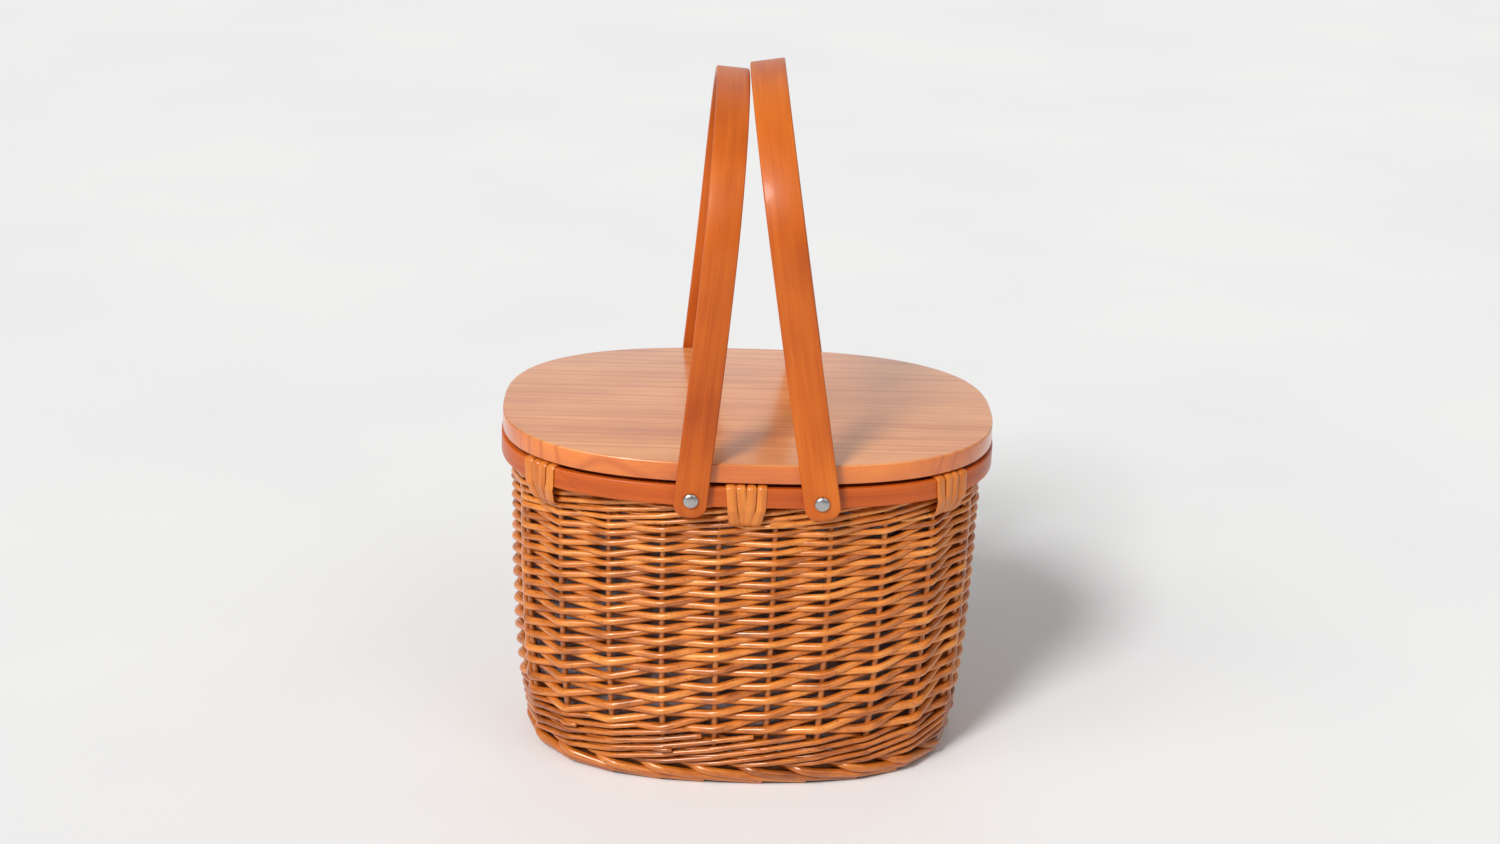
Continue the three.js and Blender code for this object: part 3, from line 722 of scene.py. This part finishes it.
def lashing(name, direction):
    """Four cane strips over the rim, drawn together below it."""
    normal = np.array([math.cos(direction), math.sin(direction)])
    tangent = np.array([-normal[1], normal[0]])
    lo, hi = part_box(f"lashing_{name}")
    centre = np.array([lo.x + hi.x, lo.y + hi.y]) / 2 @ tangent - LASHING_SHIFT
    strips = Builder()
    for top, rim_edge, low, width, stand in STRIPS:
        places = np.array([top, rim_edge, low]) * MM + RNG.normal(0, 0.25 * MM, 3) + centre
        path, outward = lashing_path(normal, tangent, places, stand * MM)
        section = strip_section(width * MM, 1.7 * MM)
        run = np.linspace(0, 1, len(path))
        narrow = 1 + 0.06 * np.sin(run * 9 + RNG.uniform(0, 6))
        add_strip(strips, path, outward, section, RNG.random(), narrow, start=top)
    place(strips.build(f"cane_{name}", CANE, 50), "basket_body", "cane", f"lashing_{name}")


def strip_section(width, thickness):
    """Flat strip section with a gently crowned outer face and rounded edges."""
    x = np.linspace(1, -1, 7)
    top = (1 - np.abs(x) ** 2.6) * 0.55 + 0.45
    points = [(a * width / 2, h * thickness) for a, h in zip(x, top)]
    points += [(-width / 2, 0.15 * thickness), (-width * 0.44, 0)]
    points += [(width * 0.44, 0), (width / 2, 0.15 * thickness)]
    return np.array(points)[::-1]


def rim_reach(normal, tangent, side, half, width):
    """Distance along normal of an oval at the place `side` along tangent."""
    angle = np.linspace(0, 2 * np.pi, 3000)
    p = oval(angle, half, width)
    p = p[p @ normal > 0]
    order = np.argsort(p @ tangent)
    return np.interp(side, (p @ tangent)[order], (p @ normal)[order])


def lashing_path(normal, tangent, places, stand):
    """Middle line of one strip, from inside the rim over its top and down into the weave. `places` are
    its positions across at the top, at the rim's lower edge and at its end."""
    bend = 1.8 * MM
    top = RIM_TOP + 0.2 * MM
    low = bottom_of("lashing_front") + 0.5 * MM
    out = rim_reach(normal, tangent, places[0], OUTER_HALF, OUTER_WIDTH) + 0.1 * MM
    inn = rim_reach(normal, tangent, places[0], *THROAT) - 0.1 * MM
    wall = rim_reach(normal, tangent, places[2], wall_half(low), half_width(wall_half(low)))
    corners = [(inn, LINING_TOP + 1 * MM), (inn, top - bend)]
    corners += [(inn + bend * (1 - math.cos(a)), top - bend + bend * math.sin(a))
                for a in (0.4, 0.8, 1.2, 1.57)]
    corners += [(out - bend + bend * math.sin(a), top - bend + bend * math.cos(a))
                for a in (0.0, 0.4, 0.8, 1.2)]
    corners += [(out, top - bend), (out, RIM_LOW + 1.5 * MM), (out + stand - 0.5 * MM, RIM_LOW - 2 * MM)]
    corners += [(wall + 2.6 * MM + stand, low + 3.5 * MM), (wall + 0.4 * MM + stand, low + 0.6 * MM)]
    corners += [(wall - 6 * MM, low - 1.2 * MM)]
    flat = np.array(corners)
    run = run_of(flat)
    at = np.linspace(0, run[-1], 90)
    n = smooth(np.interp(at, run, flat[:, 0]), 1.0)
    z = smooth(np.interp(at, run, flat[:, 1]), 1.0)
    across = np.interp(-z, [-RIM_TOP, -RIM_LOW, -low], places)
    outer_leg = at > run[-1] * 0.5
    lateral = smooth(np.where(outer_leg, across, places[0]), 1.5)
    path = np.concatenate([n[:, None] * normal + lateral[:, None] * tangent, z[:, None]], 1)
    step = directions(np.stack([n, z], -1))
    outward = np.concatenate([(-step[:, 1])[:, None] * normal, step[:, :1]], 1)
    return path, outward


def tucked_tail(strips, start, end, z, width):
    """End of a cane strip slipped along the wall under the weave, its tip cut to a point."""
    s = np.linspace(start, end, 26)
    out = np.interp(s, [start, start + 0.25 * (end - start), end], [5.6, 5.2, -1.5]) * MM
    path = wall_point(s, np.linspace(z, z - 1.2 * MM, len(s)), out)
    outward = wall_point(s, np.full(len(s), z), out + 1 * MM) - wall_point(s, np.full(len(s), z), out)
    point = np.interp(np.arange(len(s)), [0, 4, len(s)], [0.25, 1, 1])
    add_strip(strips, path, outward, strip_section(width, 1.3 * MM), RNG.random(), point)


def tails():
    """Ends of the front, left and back lashings, tucked in beside them."""
    strips = Builder()
    front = STAKES * 0.75 - 0.5
    tucked_tail(strips, front + 0.38, front + 1.36, SIDING_TOP + 3.8 * MM, 6 * MM)
    tucked_tail(strips, front - 4.2, front - 3.6, SIDING_TOP + 5.5 * MM, 4.5 * MM)
    tucked_tail(strips, front + 12.4, front + 13.2, SIDING_TOP + 4.2 * MM, 5.5 * MM)
    place(strips.build("cane_tails", CANE, 50), "basket_body", "cane")


# Handles, rivets and lid

def handle(side, pivot_x, lean, length, width, bow):
    """Bentwood strip bent over the lid; `bow` is how far each leg curves sideways between its ends."""
    centre = HANDLE_INSIDE + HANDLE_THICKNESS / 2
    height = length - HANDLE_STRAIGHT - HANDLE_THICKNESS / 2
    rounding = np.array([0, .15, .5, 1.1, 2, 3.2, 4.6, 6.2, 8, 10]) * MM - HANDLE_END
    leg = np.concatenate([rounding, np.linspace(-2 * MM, HANDLE_STRAIGHT, 40)[1:-1]])
    turn = np.linspace(0, np.pi, 97)
    arc = np.stack([centre * np.cos(turn), HANDLE_STRAIGHT + height * np.sin(turn)], -1)
    right = np.stack([np.full(len(leg), centre), leg], -1)
    left = right[::-1] * np.array([-1, 1])
    flat = np.concatenate([right, arc, left])
    tangent = np.gradient(flat, axis=0)
    tangent[:len(leg) - 1] = (0, 1)
    tangent[-len(leg) + 1:] = (0, -1)
    tangent /= np.linalg.norm(tangent, axis=1)[:, None]
    outward = np.stack([tangent[:, 1], -tangent[:, 0]], -1)
    section = rounded_box(HANDLE_THICKNESS, width, 1.3 * MM)
    short = HANDLE_CORNER - np.minimum(np.maximum(flat[:, 1] + HANDLE_END, 0), HANDLE_CORNER)
    rounded = np.sqrt(np.maximum(HANDLE_CORNER ** 2 - short ** 2, 0))
    narrow = (width / 2 - HANDLE_CORNER + rounded) / (width / 2)
    points = np.zeros((len(flat), len(section), 3))
    across = section[None, :, 1] * narrow[:, None]
    out = section[None, :, 0]
    rise = flat[:, 1:] + outward[:, 1:] * out
    aside = across + bow * np.sin(np.clip(rise / length, 0, 1) * math.pi)
    points[..., 0] = pivot_x + aside * math.cos(lean) + rise * math.sin(lean)
    points[..., 1] = flat[:, :1] + outward[:, :1] * out
    points[..., 2] = PIVOT_Z - aside * math.sin(lean) + rise * math.cos(lean)
    grain = np.stack(np.broadcast_arrays(run_of(flat)[:, None], across, out), -1)
    strip = Builder()
    strip.grid(points[:, ::-1], grain[:, ::-1], 0.2 if side == "left" else 0.8)
    place(strip.build(f"bentwood_{side}", HANDLE_WOOD), f"handle_{side}", "handle_wood", f"handle_{side}")


def lathe(builder, profile, centre, axis, sides=48):
    """Solid turned about `axis` through `centre`; profile is (radius, distance) from pole to pole."""
    axis = np.asarray(axis, float)
    first = unit(np.cross(axis, [1.0, 0, 0]))
    second = np.cross(axis, first)
    cos, sin = circle(sides)
    ring = cos[:, None] * first + sin[:, None] * second
    profile = np.asarray(profile)
    points = centre + profile[:, None, 1:] * axis + profile[:, None, :1] * ring
    builder.grid(points, points - centre, 0.5)


def dome(radius, height, edge):
    """Profile of a low dome with a short straight edge, from its rim to its pole."""
    turn = np.linspace(0, np.pi / 2, 8)
    return [(max(radius * math.cos(t) ** 0.9, POLE), edge + (height - edge) * math.sin(t)) for t in turn]


POLE = 0.02 * MM                # radius at which a turned piece closes
WASHER_PROFILE = ((2.3, 0.1), (2.5, 0), (4.7, 0), (5, 0.3), (5, 0.9), (4.7, 1.2), (2.5, 1.2), (2.3, 1.1))
SCREW_PROFILE = ((0.02, 0.9), (1.2, 0.9), (1.3, 0.1), (2.2, 0.35), (3.1, 1.0), (3.5, 1.7), (3.5, 2.0),
                 (1.75, 2.05), (1.75, 16), (0.02, 19))


def rivet(node):
    """Domed head outside, shank through the rim, and its inner end spread over the washer."""
    head, height, shank = 6 * MM, 3.2 * MM, 2 * MM
    lo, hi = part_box(node)
    sign = -1 if "front" in node else 1
    face = (hi.y if sign > 0 else -lo.y) - height
    tail = -(hi.y - lo.y - height)
    shape = [(POLE, tail), (2.6 * MM, tail + 0.3 * MM), (3.0 * MM, tail + 1.2 * MM),
             (shank, tail + 1.5 * MM), (shank, 0), (5.6 * MM, 0), (head, 0.25 * MM)]
    shape += dome(head, height, 0.6 * MM)
    turned = Builder()
    lathe(turned, shape, np.array([(lo.x + hi.x) / 2, sign * face, (lo.z + hi.z) / 2]), (0, sign, 0))
    place(turned.build(f"domed_{node}", NICKEL, 60), "basket_body", "rivet_nickel", node)


def washer(node):
    lo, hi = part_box(node)
    sign = -1 if "front" in node else 1
    profile = np.array(WASHER_PROFILE) * MM
    cos, sin = circle(32)
    points = np.zeros((len(cos), len(profile), 3))
    points[..., 0] = cos[:, None] * profile[:, 0]
    points[..., 1] = sign * profile[:, 1]
    points[..., 2] = sin[:, None] * profile[:, 0]
    if sign > 0:
        points = points[:, ::-1]
    centre = np.array([(lo.x + hi.x) / 2, lo.y if sign > 0 else hi.y, (lo.z + hi.z) / 2])
    ring = Builder()
    ring.grid(points + centre, points, 0.5, loop=True)
    place(ring.build(f"burr_{node}", STEEL, 40), "basket_body", "steel", node)


def board_outline(low, high, half, width):
    """Outline of the oval between the lines y = low and y = high. None leaves that side to the oval."""
    count = 220
    if low is not None and high is not None:
        y = np.linspace(low, high, count // 2)
        x = reach_at(y, half, width)
        return np.concatenate([np.stack([x, y], -1), np.stack([-x, y], -1)[::-1]])
    sign = -1 if low is None else 1
    seam = abs(high if low is None else low)
    reach = reach_at(seam, half, width)
    p = oval(np.linspace(0, 2 * np.pi, 4001)[:-1], half, width)
    arc = p[p[:, 1] * sign > seam]
    arc = arc[np.argsort(np.arctan2(arc[:, 1] * sign, arc[:, 0]))]
    full = np.concatenate([[[reach, sign * seam]], arc, [[-reach, sign * seam]]])
    run = run_of(full)
    at = np.linspace(0, run[-1], count)
    ring = np.stack([np.interp(at, run, full[:, 0]), np.interp(at, run, full[:, 1])], -1)
    return ring[::-1] if sign < 0 else ring


def board(name, low, high, tone):
    """Lid board between two straight glue lines, cut from the oval, with a softened top arris."""
    top = LID_TOP - LID_LOW
    arris = 1.6
    levels = [(0.9, 0.0), (0.25, 0.25), (0.0, 0.9)]
    levels += [(arris * (1 - math.cos(a)), top / MM - arris * (1 - math.sin(a)))
               for a in np.linspace(0, math.pi / 2, 7)]
    rows = []
    for inset, height in levels:
        outline = board_outline(low, high, LID_HALF - inset * MM, LID_WIDTH - inset * MM)
        rows.append(at_height(outline, LID_LOW + min(height * MM, top)))
    solid = Builder()
    solid.grid(np.array(rows), np.array(rows), tone)
    place(solid.build(name.replace("lid_board", "pine_board"), PINE, 28), "lid", "lid_pine", name)


def batten(side):
    """Bar across the underside of the boards, its lower edges cut back at both ends."""
    lo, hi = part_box(f"lid_batten_{side}")
    size = hi - lo
    section = rounded_box(size.x, size.z, 1.2 * MM)
    y = np.array([0, 0.3, 1.0, 5, 5.6, size.y / MM / 2]) * MM
    y = np.concatenate([y, size.y - y[::-1][1:]])
    rise = np.interp(np.minimum(y, size.y - y), [0, 5 * MM, 1], [5 * MM, 0, 0])
    share = 0.5 - section[None, :, 1] / size.z
    points = np.zeros((len(y), len(section), 3))
    points[..., 0] = (lo.x + hi.x) / 2 + section[None, :, 0]
    points[..., 1] = lo.y + y[:, None]
    points[..., 2] = (lo.z + hi.z) / 2 + section[None, :, 1] + rise[:, None] * share
    grain = points[..., [1, 0, 2]]
    bar = Builder()
    bar.grid(points[:, ::-1], grain[:, ::-1], 0.3 if side == "left" else 0.7)
    place(bar.build(f"pine_batten_{side}", PINE), "lid", "batten_wood", f"lid_batten_{side}")


def screw(node):
    lo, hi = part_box(node)
    centre = np.array([(lo.x + hi.x) / 2, (lo.y + hi.y) / 2, lo.z])
    turned = Builder()
    lathe(turned, np.array(SCREW_PROFILE) * MM, centre, (0, 0, 1), 20)
    place(turned.build(f"zinc_{node}", STEEL), "lid", "steel", node)


def lid():
    gap = 0.08 * MM
    board("lid_board_front", None, SEAMS[0] - gap, 0.15)
    board("lid_board_middle", SEAMS[0] + gap, SEAMS[1] - gap, 0.55)
    board("lid_board_back", SEAMS[1] + gap, None, 0.9)
    batten("left")
    batten("right")


def fasteners(start, make):
    """Make one fastener for each CAD node whose name begins with `start`."""
    for node in frame["nodes"]:
        if node.startswith(start):
            make(node)


# Studio

def sun(name, source, strength, width):
    light = bpy.data.lights.new(name, "SUN")
    light.energy = strength
    light.angle = math.radians(width)
    lamp = bpy.data.objects.new(name, light)
    lamp.rotation_euler = Vector(source).to_track_quat("Z", "Y").to_euler()
    bpy.context.scene.collection.objects.link(lamp)


def studio():
    """Pale floor, even light from all round, two suns from the front left, and weak ones from the right
    and the back."""
    size, drop = 40.0, 0.2 * MM
    floor = bpy.data.meshes.new("floor")
    corners = [(-size, -size, 0), (size, -size, 0), (size, size, 0), (-size, size, 0)]
    floor.from_pydata(corners, [], [(0, 1, 2, 3)])
    look = Look("pale_floor")
    cloud = look.noise(look.node("TexCoord").outputs["Object"], 2.0, 2)
    pale = look.ramp(cloud, [(0.3, (0.80, 0.80, 0.80)), (0.7, (0.84, 0.84, 0.83))])
    floor.materials.append(look.finish(pale, 0.7))
    ground = bpy.data.objects.new("floor", floor)
    ground.location.z = -drop
    bpy.context.scene.collection.objects.link(ground)

    world = bpy.data.worlds.new("studio")
    world.use_nodes = True
    background = world.node_tree.nodes["Background"]
    background.inputs["Color"].default_value = (1, 1, 1, 1)
    background.inputs["Strength"].default_value = 0.28
    bpy.context.scene.world = world
    sun("key", (-0.9, -0.8, 0.95), 0.8, 40)
    sun("glint", (-0.55, -0.9, 0.95), 2.3, 14)
    sun("side", (0.8, -0.75, 1.1), 0.4, 40)
    sun("back", (0.15, 1.0, 0.42), 0.4, 60)
    bpy.context.scene.view_settings.view_transform = "Standard"


def camera():
    """Camera at the photograph's viewing angle. Shifts are shares of the frame's width."""
    lens, shift_x, shift_y = 59.0856, -0.00338, -0.012653
    elevation, azimuth, roll = math.radians(19.97), math.radians(-1.49), math.radians(2.05)
    distance = 2.0229
    target = np.array([5.7 * MM, 0, LID_TOP])
    back = np.array([math.sin(azimuth) * math.cos(elevation), -math.cos(azimuth) * math.cos(elevation),
                     math.sin(elevation)])
    right = unit(np.cross(-back, UP))
    up = np.cross(right, -back)
    data = bpy.data.cameras.new("camera")
    data.sensor_width = 36
    data.lens = lens
    data.shift_x = shift_x
    data.shift_y = shift_y
    matrix = np.eye(4)
    matrix[:3, 0] = math.cos(roll) * right + math.sin(roll) * up
    matrix[:3, 1] = -math.sin(roll) * right + math.cos(roll) * up
    matrix[:3, 2] = back
    matrix[:3, 3] = target + back * distance
    eye = bpy.data.objects.new("camera", data)
    eye.matrix_world = Matrix(matrix.tolist())
    bpy.context.scene.collection.objects.link(eye)
    bpy.context.scene.camera = eye


randing()
wale("upsett_wale_rods", "upsett_wale", FOOT_TOP + 0.2 * MM, 3.7, 2.15 * MM)
wale("top_wale_rods", "top_wale", SIDING_TOP - 0.5 * MM, 4.6, 1.85 * MM, 0.6 * MM, WILLOW)
stakes()
foot_border()
base()
lining()
rim()
for lashing_name, lashing_direction in LASHINGS.items():
    lashing(lashing_name, lashing_direction)
tails()
handle("left", -45 * MM, math.radians(4.7), 303.5 * MM, 26 * MM, 1.4 * MM)
handle("right", 56.4 * MM, math.radians(-9.2), 313.5 * MM, 28 * MM, -0.5 * MM)
fasteners("rivet_", rivet)
fasteners("washer_", washer)
lid()
fasteners("batten_screw_", screw)
studio()
camera()
